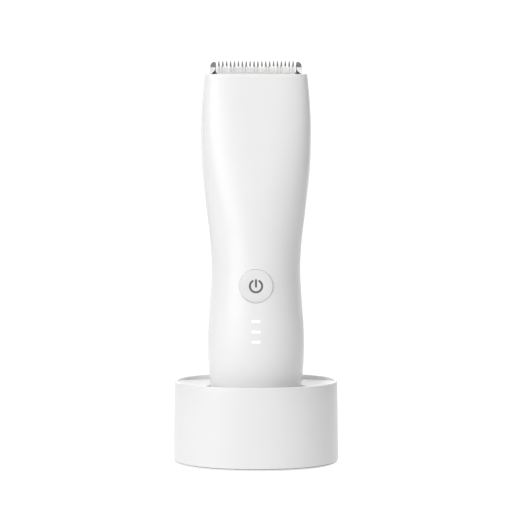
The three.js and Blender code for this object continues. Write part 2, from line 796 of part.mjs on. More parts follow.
function fixedComb() {
  const { halfWidth, innerHalfWidth, bottom, shoulder, root, tip, pitch } = comb;
  const { guardInner, guardTop, guardRound } = comb;
  const teeth = [];
  for (let i = 0; i < comb.teeth; i += 1) {
    const x = (i - (comb.teeth - 1) / 2) * pitch;
    teeth.push(...toothPoints(x, { halfBase: 0.42, halfTop: 0.33, root, shoulder: tip - 1.3, tip }));
  }
  const roundCentre = [halfWidth - guardRound, guardTop - guardRound];
  const guard = (side) => [
    [guardInner, root],
    [guardInner, guardTop - 1.6],
    [guardInner + 0.3, guardTop - 0.3],
    ...arcPoints(roundCentre, guardRound, Math.PI / 2, 0, 5),
    [halfWidth, shoulder],
    [innerHalfWidth, shoulder],
    [innerHalfWidth, bottom],
  ].map(([x, z]) => [side * x, z]);
  const outline = shapeThrough([...guard(-1).reverse(), ...teeth, ...guard(1)]);
  const plate = frontPrism(outline, comb.front, comb.back);
  const guardFaces = [-1, 1].map(guardFace);
  const bevel = sidePrism([
    [comb.back + 0.5, root - 0.4],
    [comb.back, root - 0.4],
    [0.95, tip + 0.2],
    [3, tip + 0.2],
  ], -25, 25);
  const screwHoles = [-1, 1].map((side) => (
    frontRod(1.1, -1, 3, { x: side * bladeScrew.x, z: bladeScrew.z, segments: 16 })
  ));
  return cut(union(plate, ...guardFaces), bevel, ...screwHoles);
}

// The front of one end guard: a facet that slopes forwards and down, open over the pillar.
function guardFace(side) {
  const { halfWidth, front, shoulder } = comb;
  const { reach, foot, top } = guardFacet;
  const wedge = sidePrism([
    [front + 0.2, shoulder],
    [reach, shoulder],
    [reach, foot],
    [front, top],
    [front + 0.2, top],
  ], side * pillar.inner, side * halfWidth);
  const slope = (pillar.highTop - pillar.lowTop) / (pillar.outer - pillar.inner);
  const lift = gap * Math.hypot(1, slope);
  const openingTop = (x) => pillar.lowTop + (pillar.outer - x) * slope + lift;
  const [inner, outer] = [pillar.inner - 1, pillar.outer + gap];
  const opening = shapeThrough([
    [side * inner, shoulder - 1],
    [side * outer, shoulder - 1],
    [side * outer, openingTop(outer)],
    [side * inner, openingTop(inner)],
  ]);
  return cut(wedge, frontPrism(opening, reach - 1, front));
}

function ceramicCutter() {
  const { halfWidth, bottom, root, tip, pitch, front, back } = cutter;
  const teeth = [];
  for (let i = 0; i < cutter.teeth; i += 1) {
    const x = (i - (cutter.teeth - 1) / 2) * pitch;
    teeth.push(...toothPoints(x, { halfBase: 0.5, halfTop: 0.38, root, shoulder: tip - 0.5, tip }));
  }
  const shoulders = root - 0.4;
  const outline = shapeThrough([
    [halfWidth, shoulders],
    [halfWidth, bottom],
    [-halfWidth, bottom],
    [-halfWidth, shoulders],
    ...teeth,
  ]);
  return frontPrism(outline, front, back);
}

// The follower under the comb, forked over the crank pin.
function driveBlock() {
  const [z0, z1] = [143.0, 148.5];
  const slotHalf = crank.pinRadius + crank.throw + cutter.travel + gap;
  const body = block([-4.6, 4.6], [cutter.back + gap, 3.3], [z0, z1]);
  const fork = block([-slotHalf, slotHalf], [-1, 5], [z0 - 1, crank.pinTop + gap]);
  return cut(body, fork);
}

// A bowed leaf that presses the cutter against the comb.
function cutterSpring() {
  const [reach, thick] = [7.2, 0.3];
  const bow = (u) => 1.2 * (1 - u ** 2);
  const steps = 8;
  const outer = [];
  const inner = [];
  for (let i = 0; i <= steps; i += 1) {
    const u = (2 * i) / steps - 1;
    outer.push([u * reach, -3.4 + bow(u)]);
    inner.unshift([u * reach, -3.4 + bow(u) + thick]);
  }
  return prism(shapeThrough([...outer, ...inner]), 148.5, 151.5);
}

function bladeScrewBody(side) {
  const body = screw({ headRadius: 1.6, headThickness: 0.9, shank: 0.8, length: 3.2 });
  return body.rotate([90, 0, 0]).translate([side * bladeScrew.x, 3.95, bladeScrew.z]);
}

// ---------------------------------------------------------------- assembly

const object = new THREE.Group();

function place(name, body, look) {
  const { vertProperties, triVerts } = body.getMesh();
  const geometry = new THREE.BufferGeometry();
  geometry.setAttribute("position", new THREE.BufferAttribute(new Float32Array(vertProperties), 3));
  geometry.setIndex(new THREE.BufferAttribute(new Uint32Array(triVerts), 1));
  geometry.computeVertexNormals();
  const mesh = new THREE.Mesh(geometry, new THREE.MeshStandardMaterial(look));
  mesh.name = name;
  object.add(mesh);
}

const sides = [["left", -1], ["right", 1]];

place("dock_shell", dockShell(), looks.whitePlastic);
place("dock_tray", dockTray(), looks.whitePlastic);
place("dock_base_plate", dockBasePlate(), looks.whitePlastic);
place("dock_foot_pad", footPadSheet(), looks.darkRubber);
place("dock_ballast", ballastPlate(), looks.zincSteel);
place("dock_board", dockBoard(), looks.circuit);
place("charging_socket", chargingSocket(), looks.steel);
place("pin_block", pinBlock(), looks.blackPlastic);
sides.forEach(([word, side]) => {
  place(`charge_pin_${word}`, chargePinBody(side), looks.gold);
  place(`base_screw_${word}`, dockBaseScrew(side), looks.zincSteel);
});

const whole = caseBody();
place("front_shell", frontShell(whole), looks.whitePlastic);
place("rear_shell", rearShell(whole), looks.whitePlastic);
place("shell_gasket", shellGasket(whole), looks.greyRubber);
place("contact_plug", contactPlugBody(), looks.blackPlastic);
sides.forEach(([word, side]) => place(`charge_contact_${word}`, chargeContact(side), looks.gold));

place("power_button", powerButton(), looks.buttonPlastic);
place("power_icon_ring", iconRing(), looks.iconGrey);
place("power_icon_bar", iconBar(), looks.iconGrey);
place("switch_plunger", switchPlunger(), looks.blackPlastic);
place("button_seal", buttonSeal(), looks.greyRubber);
place("tact_switch", tactSwitch(), looks.steel);
lightBar.heights.forEach((z, i) => place(`light_pipe_${i + 1}`, lightPipe(z), looks.lightPipe));
place("led_module", ledModule(), looks.innerPlastic);

place("main_board", mainBoard(), looks.circuit);
place("chassis", chassisFrame(), looks.innerPlastic);
chassis.screws.forEach((z, i) => place(`chassis_screw_${i + 1}`, chassisScrew(z), looks.zincSteel));
place("battery_cell", batteryCell(), looks.batteryWrap);
place("motor", motorCan(), looks.steel);
place("motor_mount", motorMount(), looks.innerPlastic);
place("motor_shaft", motorShaft(), looks.zincSteel);
place("crank_disc", crankDisc(), looks.blackPlastic);
place("head_floor", headFloor(), looks.innerPlastic);

place("blade_carrier", bladeCarrier(), looks.blackPlastic);
place("fixed_comb", fixedComb(), looks.steel);
place("ceramic_cutter", ceramicCutter(), looks.ceramic);
place("drive_block", driveBlock(), looks.innerPlastic);
place("cutter_spring", cutterSpring(), looks.steel);
sides.forEach(([word, side]) => place(`blade_screw_${word}`, bladeScrewBody(side), looks.zincSteel));

export default object;
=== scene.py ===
"""Looks for the cordless body groomer in its charging dock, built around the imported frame.

Metres, +Z up, the floor at z = 0, the front of the groomer faces -Y.
Forms are written in millimetres and scaled once, in `new_mesh`.
"""

import json
import math

import bmesh
import bpy
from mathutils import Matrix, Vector


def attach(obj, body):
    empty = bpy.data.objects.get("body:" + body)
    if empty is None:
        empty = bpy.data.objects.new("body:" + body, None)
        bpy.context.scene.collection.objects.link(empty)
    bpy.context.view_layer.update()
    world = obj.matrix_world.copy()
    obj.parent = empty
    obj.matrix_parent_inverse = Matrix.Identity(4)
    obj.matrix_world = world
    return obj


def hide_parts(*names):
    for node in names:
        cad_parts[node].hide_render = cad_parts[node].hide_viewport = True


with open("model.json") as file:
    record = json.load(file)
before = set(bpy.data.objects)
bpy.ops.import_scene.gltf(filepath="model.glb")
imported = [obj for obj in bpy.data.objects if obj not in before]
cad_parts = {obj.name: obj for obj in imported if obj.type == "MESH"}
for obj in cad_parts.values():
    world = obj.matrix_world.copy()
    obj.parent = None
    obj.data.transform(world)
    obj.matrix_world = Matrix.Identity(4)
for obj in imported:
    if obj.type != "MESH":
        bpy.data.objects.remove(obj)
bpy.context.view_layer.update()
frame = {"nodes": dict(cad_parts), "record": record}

# ------------------------------------------------------------------ driving dimensions, mm and degrees

MM = 0.001
GAP = 0.3
WALL = 2.0
SLIVER = 0.002

# Edges sharper than the first are rounded; faces that meet more gently than the others shade smooth.
SOFTEN_ABOVE = 35.0
SMOOTH_BELOW = 32.0
BLADE_SMOOTH_BELOW = 25.0

# The dock's tub, base plate, foot pad, rim and socket.
DOCK_HEIGHT = 32.2
DOCK_HALF_WIDTH_BASE = 33.0
DOCK_HALF_WIDTH_TOP = 32.5
DOCK_DEPTH_RATIO = 0.855
DOCK_POWER = 2.2
DOCK_POINTS = 192
DOCK_BOTTOM = 1.1
DOCK_BOTTOM_EDGE = 0.2
DOCK_WALL_FROM = 2.5
DOCK_RING_PITCH = 5.0
PLATE_BOTTOM = 0.3
PLATE_INSET = 0.4
PLATE_EDGE = 0.06
PLATE_ROUND = 0.2
PLATE_OPENING = 10.7
FLANGE_GAP = 0.22
COLLAR_TOP = 4.2
PAD_INSET = 11.1
# How far in from the pad's edge, and how high, at each ring of the pad.
PAD_PROFILE = ((0.5, 0.0), (0.1, 0.15), (0.0, 0.5), (0.0, 1.5))
RIM_WALL = 1.3
RIM_ROUND = 0.35
RIM_STEPS = 4
RIM_INNER_ROUND = 0.25
RIM_INNER_CORNER = 0.07
LEDGE = 27.9
LEDGE_WIDTH = 1.4
LEDGE_DEPTH = 2.0
SOCKET_HEIGHT = 8.75
SOCKET_MOUTH = (9.6, 3.9)
BACK_CUT = (20.0, 30.0)

# The well round the handle's foot and the dished tray about it.
WELL_MOUTH = 29.5
WELL_CLEARANCE = 0.5
WELL_FLARE = 1.8
WELL_FLARE_FRONT = 0.3
WELL_FLARE_FROM = 16.0
WELL_FLARE_RISE = 7.0
WELL_STRAIGHT_TO = 28.0
WELL_RING_PITCH = 1.5
WELL_WALL = 1.6
WELL_CENTRE_SHARE = 0.4
WELL_FLOOR_THICKNESS = 2.0
MOUTH_ROUND = 0.3
TRAY_DROP = 1.8
TRAY_END_POWER = 8
TRAY_EDGE_WIDTH = 2.4
TRAY_JOINT = 0.08
DISH_STEPS = 12
DISH_POWER = 2.2
DISH_THICKNESS = 2.0
NECK_HIGH = 27.0
NECK_HIGH_REACH = 1.9
NECK_LOW = 22.0
NECK_LOW_REACH = 1.6
WELL_FOOT_INSET = 1.5
WELL_FLOOR_INSET = 0.6

# The charging pins and the contacts above them.
PIN_X = 4.0
PIN_Y = -2.0
PIN_HOLE_RADIUS = 1.15
PIN_HOLE_BELOW = 3.0
PIN_HOLE_ABOVE = 1.0
# Radius and height up each profile.
PIN_PROFILE = ((0.8, 8.0), (0.8, 11.0), (0.76, 11.2), (0.62, 11.37), (0.4, 11.46), (0.15, 11.5))
CONTACT_PROFILE = ((0.9, 12.9), (1.4, 12.9), (1.4, 11.95), (1.25, 11.8), (0.7, 11.8))

# The case, from its rounded foot to the head pocket.
FOOT = 11.3
FOOT_ROUND = 3.2
FOOT_STEPS = 8
FOOT_CENTRE_SHARE = 0.5
CASE_POINTS = 160
CASE_TOP = 153.7
CASE_RING_PITCH = 1.6
LIP_ROUND = 0.14
CORNER_SHARE = 0.3
TOP_SLOPE = 0.13
LEVEL_BELOW = 146.0
SEAM = 2.0
HALF_SEAM = 0.25
HEAD_WALL = 1.8
HEAD_FLOOR = 140.3
HEAD_FLOOR_THICKNESS = 1.5
POCKET_LOW = 148.0
HOLLOW_PITCH = 8.0
HOLLOW_ROUND = 0.6
HOLLOW_START = 4.0
HOLLOW_END = 5.0
HOLLOW_FOOT_RISE = 1.6
HOLLOW_FOOT_INSET = 2.4
PLUG_HOLE = (14.0, 6.0)
PLUG_HOLE_SPAN = (9.0, 15.0)

# The button, its icon and the lit bars.
BUTTON_HEIGHT = 70.6
BUTTON_RADIUS = 6.58
BUTTON_CLEARANCE = 0.06
BUTTON_SUNK = 0.25
BUTTON_EDGE = 0.22
BUTTON_THICKNESS = 1.6
BUTTON_STEM = 1.8
BUTTON_STEM_LENGTH = 0.8
BUTTON_POINTS = 96
ICON_RADIUS = 2.38
ICON_STROKE = 0.80
ICON_HALF_GAP = 0.58
ICON_STEPS = 48
TIP_STEPS = 8
ICON_BAR_LENGTH = 3.3
ICON_BAR_RISE = 1.1
ICON_PROUD = 0.02
ICON_DEPTH = 0.2
BAR_HEIGHTS = (56.85, 52.75, 48.85)
BAR_WIDTH = 3.65
BAR_TALL = 1.1
BAR_CLEARANCE = 0.05
BAR_SUNK = 0.02
BAR_INNER = -13.0
BAR_EDGE = 0.12
FRONT_CUT = (-30.0, -8.0)

# The steel comb, its end guards and the carrier's pillars that show through them.
COMB_TEETH = 20
COMB_PITCH = 1.56
COMB_FRONT = 0.5
COMB_BACK = 1.7
COMB_BOTTOM = 149.0
COMB_SHOULDER = 154.3
COMB_ROOT = 155.3
COMB_TIP = 160.0
COMB_HALF_WIDTH = 18.2
COMB_TANG_INNER = 16.0
COMB_EDGE = 0.05
COMB_TIP_BACK = 0.85
GRIND_REACH = 25.0
GUARD_STEPS = 12
COMB_SCREW_X = 11.0
COMB_SCREW_HEIGHT = 151.2
COMB_SCREW_RADIUS = 1.1
GUARD_INNER = 15.9
GUARD_TOP = 159.55
GUARD_ROUND = 1.7
FACET_INNER = 16.08
FACET_REACH = -1.9
FACET_FOOT = 154.5
FACET_TOP = 157.45
FACET_SHY = 0.06
FACET_ROOT = 0.2
PILLAR_INNER = 16.35
PILLAR_OUTER = 17.65
PILLAR_LOW = 154.1
PILLAR_HIGH = 155.5

# The ceramic cutter in front of the comb.
CUTTER_TEETH = 27
CUTTER_PITCH = 1.165
CUTTER_HALF_WIDTH = 15.5
CUTTER_FRONT = -1.2
CUTTER_BACK = 0.2
CUTTER_BOTTOM = 144.0
CUTTER_ROOT = 154.9
CUTTER_SHOULDER_DROP = 0.4
CUTTER_TIP = 157.6
CUTTER_EDGE = 0.045

# Half-width and height of a comb tooth, from its root to its point.
SPEAR = (
    (0.42, COMB_ROOT),
    (0.40, 157.4),
    (0.36, 158.2),
    (0.29, 158.9),
    (0.18, 159.5),
    (0.05, COMB_TIP),
)

# The same for a cutter tooth, which is blunt.
BLUNT = (
    (0.545, CUTTER_ROOT),
    (0.54, CUTTER_TIP - 1.0),
    (0.52, CUTTER_TIP - 0.4),
    (0.38, CUTTER_TIP - 0.1),
    (0.2, CUTTER_TIP),
)

# Height, half-width, front reach, back reach, and how square the front and back halves are.
CASE_STATIONS = (
    (5.0, 15.6, 13.6, 13.6, 2.1, 2.1),
    (20.0, 17.2, 15.4, 15.4, 2.1, 2.1),
    (36.0, 18.8, 16.7, 16.7, 2.1, 2.1),
    (45.0, 19.3, 17.0, 17.0, 2.1, 2.1),
    (54.0, 19.1, 16.8, 16.8, 2.1, 2.1),
    (66.0, 18.25, 16.3, 16.0, 2.1, 2.1),
    (77.5, 17.73, 15.9, 15.6, 2.1, 2.1),
    (88.0, 18.3, 15.6, 15.5, 2.15, 2.15),
    (100.0, 19.7, 15.0, 15.2, 2.35, 2.3),
    (117.0, 21.5, 13.5, 14.0, 2.8, 2.6),
    (131.0, 21.93, 11.6, 12.1, 3.2, 2.9),
    (143.0, 21.5, 9.8, 9.3, 3.5, 3.2),
    (154.8, 20.3, 8.0, 6.4, 3.8, 3.4),
)

# ------------------------------------------------------------------ node materials

TINT_STOPS = (0.3, 0.7)
# Bump heights in metres.
DEEP_GRAIN = 0.00004
SHALLOW_GRAIN = 0.00003


def new_material(name):
    """An empty node material with a Principled shader, and a helper that adds nodes to it."""
    material = bpy.data.materials.new(name)
    material.use_nodes = True
    tree = material.node_tree
    shader = tree.nodes["Principled BSDF"]

    def add(kind, **inputs):
        node = tree.nodes.new(kind)
        for key, value in inputs.items():
            node.inputs[key.replace("_", " ")].default_value = value
        return node

    return material, tree.links, shader, add


def speckle(links, add, scale, detail=4.0, stretch=(1.0, 1.0, 1.0)):
    """Noise in the object's own space, stretched along its axes; returns the noise node."""
    where = add("ShaderNodeTexCoord")
    mapping = add("ShaderNodeMapping")
    mapping.inputs["Scale"].default_value = stretch
    noise = add("ShaderNodeTexNoise", Scale=scale, Detail=detail)
    links.new(where.outputs["Object"], mapping.inputs["Vector"])
    links.new(mapping.outputs["Vector"], noise.inputs["Vector"])
    return noise


def spread(links, add, source, low, high):
    """Maps a 0..1 value to low..high."""
    ranged = add("ShaderNodeMapRange")
    ranged.inputs["To Min"].default_value = low
    ranged.inputs["To Max"].default_value = high
    links.new(source, ranged.inputs["Value"])
    return ranged.outputs["Result"]


def tint(links, add, source, low, high):
    """Blends between two colours by a 0..1 value."""
    ramp = add("ShaderNodeValToRGB")
    for stop, colour, position in zip(ramp.color_ramp.elements, (low, high), TINT_STOPS):
        stop.color = (*colour, 1.0)
        stop.position = position
    links.new(source, ramp.inputs["Fac"])
    return ramp.outputs["Color"]


def grain(links, add, shader, height, strength, distance):
    """A fine bump from a 0..1 height."""
    bump = add("ShaderNodeBump", Strength=strength, Distance=distance)
    links.new(height, bump.inputs["Height"])
    links.new(bump.outputs["Normal"], shader.inputs["Normal"])


def plastic(name, low, high, rough, grain_scale=2600.0, grain_strength=0.04):
    """Moulded plastic: a faint mottle in colour and gloss over a very fine grain."""
    material, links, shader, add = new_material(name)
    mottle = speckle(links, add, 60.0)
    fine = speckle(links, add, grain_scale, detail=2.0)
    links.new(tint(links, add, mottle.outputs["Fac"], low, high), shader.inputs["Base Color"])
    links.new(spread(links, add, mottle.outputs["Fac"], *rough), shader.inputs["Roughness"])
    grain(links, add, shader, fine.outputs["Fac"], grain_strength, DEEP_GRAIN)
    return material


def metal(name, low, high, rough, stretch=(1.0, 1.0, 1.0), scale=900.0):
    """Ground or plated metal: fine variation in colour, gloss and height, streaked where stretched."""
    material, links, shader, add = new_material(name)
    streaks = speckle(links, add, scale, detail=6.0, stretch=stretch)
    links.new(tint(links, add, streaks.outputs["Fac"], low, high), shader.inputs["Base Color"])
    links.new(spread(links, add, streaks.outputs["Fac"], *rough), shader.inputs["Roughness"])
    shader.inputs["Metallic"].default_value = 1.0
    grain(links, add, shader, streaks.outputs["Fac"], 0.12, SHALLOW_GRAIN)
    return material


def lit_bar_material():
    """A frosted light pipe, lit white from behind and a little softer at places."""
    material, links, shader, add = new_material("light_pipe_lit")
    cloud = speckle(links, add, 400.0)
    colour = tint(links, add, cloud.outputs["Fac"], (0.84, 0.85, 0.86), (0.88, 0.88, 0.88))
    links.new(colour, shader.inputs["Base Color"])
    links.new(colour, shader.inputs["Emission Color"])
    shader.inputs["Emission Strength"].default_value = 0.3
    links.new(spread(links, add, cloud.outputs["Fac"], 0.3, 0.42), shader.inputs["Roughness"])
    return material


def circuit_material():
    """Green solder mask with a faint pattern of copper tracks under it."""
    material, links, shader, add = new_material("circuit_board")
    tracks = add("ShaderNodeTexBrick", Scale=420.0)
    where = add("ShaderNodeTexCoord")
    links.new(where.outputs["Object"], tracks.inputs["Vector"])
    tracks.inputs["Color1"].default_value = (0.018, 0.11, 0.05, 1.0)
    tracks.inputs["Color2"].default_value = (0.022, 0.13, 0.06, 1.0)
    tracks.inputs["Mortar"].default_value = (0.05, 0.2, 0.09, 1.0)
    links.new(tracks.outputs["Color"], shader.inputs["Base Color"])
    cloud = speckle(links, add, 500.0)
    links.new(spread(links, add, cloud.outputs["Fac"], 0.35, 0.5), shader.inputs["Roughness"])
    grain(links, add, shader, tracks.outputs["Fac"], 0.2, SHALLOW_GRAIN)
    return material


WHITE = plastic("white_shell", (0.795, 0.795, 0.795), (0.81, 0.81, 0.808), (0.23, 0.28))
DOCK_WHITE = plastic("white_dock", (0.75, 0.75, 0.75), (0.765, 0.765, 0.763), (0.27, 0.33))
BUTTON_GREY = plastic(
    "button_grey", (0.74, 0.74, 0.74), (0.76, 0.76, 0.76), (0.45, 0.52), 1800.0, 0.08)
ICON = plastic("icon_grey", (0.10, 0.10, 0.11), (0.13, 0.13, 0.14), (0.45, 0.55))
BLACK = plastic("black_plastic", (0.012, 0.012, 0.014), (0.02, 0.02, 0.022), (0.35, 0.5), 1500.0, 0.15)
INNER = plastic("inner_plastic", (0.55, 0.56, 0.57), (0.6, 0.61, 0.62), (0.5, 0.6), 1500.0, 0.15)
GREY_RUBBER = plastic("grey_rubber", (0.42, 0.42, 0.43), (0.46, 0.46, 0.47), (0.7, 0.85), 1200.0, 0.3)
DARK_RUBBER = plastic("dark_rubber", (0.02, 0.02, 0.022), (0.03, 0.03, 0.032), (0.75, 0.9), 1200.0, 0.4)
WRAP = plastic("battery_wrap", (0.04, 0.14, 0.28), (0.05, 0.17, 0.33), (0.3, 0.4), 700.0, 0.2)
CERAMIC = plastic("ceramic", (0.84, 0.84, 0.83), (0.88, 0.88, 0.87), (0.22, 0.3), 3000.0, 0.05)
STEEL = metal("blade_steel", (0.30, 0.30, 0.31), (0.42, 0.42, 0.43), (0.22, 0.34), (0.15, 1.0, 2.5))
PLATED = metal("plated_steel", (0.42, 0.43, 0.44), (0.55, 0.56, 0.57), (0.3, 0.45))
BRIGHT = metal("bright_steel", (0.55, 0.56, 0.57), (0.68, 0.69, 0.7), (0.2, 0.32))
GOLD = metal("gold_contact", (0.70, 0.50, 0.17), (0.83, 0.62, 0.24), (0.18, 0.3))
LIT = lit_bar_material()
CIRCUIT = circuit_material()

SLOT_MATERIALS = {
    "white_plastic": WHITE,
    "button_plastic": BUTTON_GREY,
    "icon_grey": ICON,
    "light_pipe": LIT,
    "grey_rubber": GREY_RUBBER,
    "dark_rubber": DARK_RUBBER,
    "black_plastic": BLACK,
    "inner_plastic": INNER,
    "blade_steel": STEEL,
    "plated_steel": PLATED,
    "bright_steel": BRIGHT,
    "gold_contact": GOLD,
    "ceramic": CERAMIC,
    "circuit_board": CIRCUIT,
    "battery_wrap": WRAP,
}


def paint_frame():
    """Gives every CAD node the material of its slot."""
    for part in frame["record"]["subparts"]:
        node = frame["nodes"][part["node"]]
        node.data.materials.clear()
        node.data.materials.append(SLOT_MATERIALS[part["material_slot"]])


# ------------------------------------------------------------------ mesh helpers


def new_mesh(name, points, faces):
    """A mesh object from points in mm."""
    mesh = bpy.data.meshes.new(name)
    mesh.from_pydata([Vector(point) * MM for point in points], [], faces)
    mesh.update()
    work = bmesh.new()
    work.from_mesh(mesh)
    bmesh.ops.recalc_face_normals(work, faces=work.faces)
    work.to_mesh(mesh)
    work.free()
    piece = bpy.data.objects.new(name, mesh)
    bpy.context.scene.collection.objects.link(piece)
    return piece


def skin(name, rings, loop=False):
    """Quads through a row of rings with equal point counts, closed at both ends or on itself."""
    count = len(rings[0])
    points = [point for ring_points in rings for point in ring_points]
    faces = []
    rows = len(rings) if loop else len(rings) - 1
    for row in range(rows):
        low = row * count
        high = ((row + 1) % len(rings)) * count
        for i in range(count):
            j = (i + 1) % count
            faces.append((low + i, low + j, high + j, high + i))
    if not loop:
        faces.append(tuple(reversed(range(count))))
        faces.append(tuple(range((len(rings) - 1) * count, len(rings) * count)))
    return new_mesh(name, points, faces)


def apply_modifiers(piece):
    """Bakes the object's modifiers into its mesh."""
    graph = bpy.context.evaluated_depsgraph_get()
    mesh = bpy.data.meshes.new_from_object(piece.evaluated_get(graph))
    piece.modifiers.clear()
    piece.data = mesh
    return piece


def combine(piece, operation, tools):
    """Runs one boolean per tool and removes the tools."""
    for tool in tools:
        step = piece.modifiers.new("combine", "BOOLEAN")
        step.operation = operation
        step.solver = "EXACT"
        step.object = tool
        apply_modifiers(piece)
        bpy.data.objects.remove(tool)


def carve(piece, *tools):
    """Cuts closed tool meshes out of a piece, and removes the tools."""
    combine(piece, "DIFFERENCE", tools)


def join(piece, *others):
    """Makes one closed mesh of a piece and others that overlap it."""
    combine(piece, "UNION", others)


def soften(piece, width, segments=2):
    """Rounds the sharp edges by a width in mm."""
    bevel = piece.modifiers.new("round", "BEVEL")
    bevel.width = width * MM
    bevel.segments = segments
    bevel.limit_method = "ANGLE"
    bevel.angle_limit = math.radians(SOFTEN_ABOVE)
    return apply_modifiers(piece)


def mend(piece):
    """Welds the slivers that a cut leaves behind."""
    work = bmesh.new()
    work.from_mesh(piece.data)
    bmesh.ops.remove_doubles(work, verts=work.verts, dist=SLIVER * MM)
    bmesh.ops.dissolve_degenerate(work, dist=SLIVER * MM, edges=work.edges)
    work.to_mesh(piece.data)
    work.free()


def dress(piece, material, slot, body, *nodes, angle=SMOOTH_BELOW):
    """Smooths, paints and hangs a finished piece on its body in place of CAD nodes."""
    mend(piece)
    for face in piece.data.polygons:
        face.use_smooth = True
    piece.data.set_sharp_from_angle(angle=math.radians(angle))
    piece.data.materials.clear()
    piece.data.materials.append(material)
    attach(piece, body)
    if nodes:
        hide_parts(*nodes)


def ring(half_width, front, back, square_front, square_back, z, count):
    """A closed outline: an ellipse squared off separately on its front and back halves."""
    points = []
    for i in range(count):
        turn = 2 * math.pi * i / count
        c, s = math.cos(turn), math.sin(turn)
        power, reach = (square_front, front) if s < 0 else (square_back, back)
        shrink = (abs(c) ** power + abs(s) ** power) ** (1 / power)
        points.append((half_width * c / shrink, reach * s / shrink, z))
    return points


def stadium(width, tall, steps=8):
    """Points of an outline with round ends, counter-clockwise."""
    radius = min(width, tall) / 2
    dx, dz = width / 2 - radius, tall / 2 - radius
    points = []
    for quarter, (sx, sz) in enumerate(((1, -1), (1, 1), (-1, 1), (-1, -1))):
        for i in range(steps + 1):
            turn = math.pi / 2 * (quarter - 1 + i / steps)
            points.append((sx * dx + radius * math.cos(turn), sz * dz + radius * math.sin(turn)))
    return points


def front_prism(name, outline, y0, y1, x=0.0, z=0.0):
    """A closed extrusion along Y of an outline in X and Z."""
    rings = [[(px + x, y, pz + z) for px, pz in outline] for y in (y0, y1)]
    return skin(name, rings)


def circle(radius, steps):
    """Points of a circle round the origin."""
    return [(radius * math.cos(2 * math.pi * i / steps), radius * math.sin(2 * math.pi * i / steps))
            for i in range(steps)]


def turned(name, profile, x=0.0, y=0.0, steps=32):
    """A solid of revolution about Z, from (radius, z) pairs between its two flat ends."""
    rings = [[(x + px, y + py, z) for px, py in circle(radius, steps)] for radius, z in profile]
    return skin(name, rings)


# ------------------------------------------------------------------ the case's form


def case_value(column, z):
    """A smooth curve through one column of the stations, read at height z."""
    stations = CASE_STATIONS
    at = next((i for i, station in enumerate(stations) if station[0] >= z), len(stations) - 1)
    at = max(at, 1)

    def slope(index):
        before = stations[max(index - 1, 0)]
        after = stations[min(index + 1, len(stations) - 1)]
        return (after[column] - before[column]) / (after[0] - before[0])

    low, high = stations[at - 1], stations[at]
    span = high[0] - low[0]
    u = (z - low[0]) / span
    rise = (2 * u**3 - 3 * u**2 + 1) * low[column] + (3 * u**2 - 2 * u**3) * high[column]
    lean = (u**3 - 2 * u**2 + u) * slope(at - 1) + (u**3 - u**2) * slope(at)
    return rise + lean * span


def let_out_ring(z, across, along, height=None):
    """The case's outline at a height, let out sideways by one amount, front and back by another."""
    return ring(
        case_value(1, z) + across,
        case_value(2, z) + along,
        case_value(3, z) + along,
        case_value(4, z),
        case_value(5, z),
        z if height is None else height,
        CASE_POINTS,
    )


def case_ring(z, inset=0.0, height=None):
    """The case's outline at a height, drawn in by inset, or let out when it is negative."""
    return let_out_ring(z, -inset, -inset, height)


def foot_rings(clearance=0.0, drop=0.0):
    """Rings around the foot's rounded edge."""
    rings = []
    for i in range(FOOT_STEPS + 1):
        turn = i / FOOT_STEPS * math.pi / 2
        inset = FOOT_ROUND * (1 - math.sin(turn)) - clearance
        z = FOOT + FOOT_ROUND * (1 - math.cos(turn))
        rings.append(case_ring(z, inset, z - drop))
    return rings


def heights_between(low, high, pitch):
    """Evenly spaced heights, both ends included, about one pitch apart."""
    steps = max(1, round((high - low) / pitch))
    return [low + (high - low) * i / steps for i in range(steps + 1)]


def scaled_ring(points, share, z):
    """A ring shrunk towards the axis, at a height."""
    return [(x * share, y * share, z) for x, y, _ in points]


def climb(points, share=1.0):
    """Tilts a ring so that it climbs towards the back, as the case's top edge does."""
    front = case_value(2, CASE_TOP)
    return [(x, y, z + TOP_SLOPE * share * (y + front)) for x, y, z in points]


def outside_rings():
    """The case's outside, from the middle of its foot up to the lip."""
    rings = [scaled_ring(foot_rings()[0], FOOT_CENTRE_SHARE, FOOT), *foot_rings()]
    for z in heights_between(FOOT + FOOT_ROUND, CASE_TOP - LIP_ROUND, CASE_RING_PITCH)[1:]:
        share = max(0.0, (z - LEVEL_BELOW) / (CASE_TOP - LEVEL_BELOW))
        rings.append(climb(case_ring(z), share))
    return rings


def lip_rings():
    """The rounded top edge, from the outside to the head pocket's wall."""
    corner = LIP_ROUND * CORNER_SHARE
    return [
        climb(case_ring(CASE_TOP, corner, CASE_TOP - corner)),
        climb(case_ring(CASE_TOP, LIP_ROUND)),
        climb(case_ring(CASE_TOP, HEAD_WALL - LIP_ROUND)),
        climb(case_ring(CASE_TOP, HEAD_WALL, CASE_TOP - LIP_ROUND)),
    ]


def hollow_rings():
    """The case's inside, from the head pocket down to the foot."""
    top = HEAD_FLOOR - HEAD_FLOOR_THICKNESS
    low = FOOT + FOOT_ROUND + HOLLOW_START
    rings = [case_ring(CASE_TOP, HEAD_WALL, z) for z in (POCKET_LOW, top + 1)]
    rings.append(case_ring(top, WALL + HOLLOW_ROUND))
    rings += [case_ring(z, WALL) for z in heights_between(low, top - HOLLOW_END, HOLLOW_PITCH)[::-1]]
    rings.append(case_ring(FOOT + WALL + HOLLOW_FOOT_RISE, WALL + HOLLOW_ROUND))
    rings.append(case_ring(FOOT + WALL, WALL + HOLLOW_FOOT_INSET))
    return rings


def case_body(name):
    """The whole case as one closed skin: outside, lip, head pocket and hollow."""
    return skin(name, outside_rings() + lip_rings() + hollow_rings())


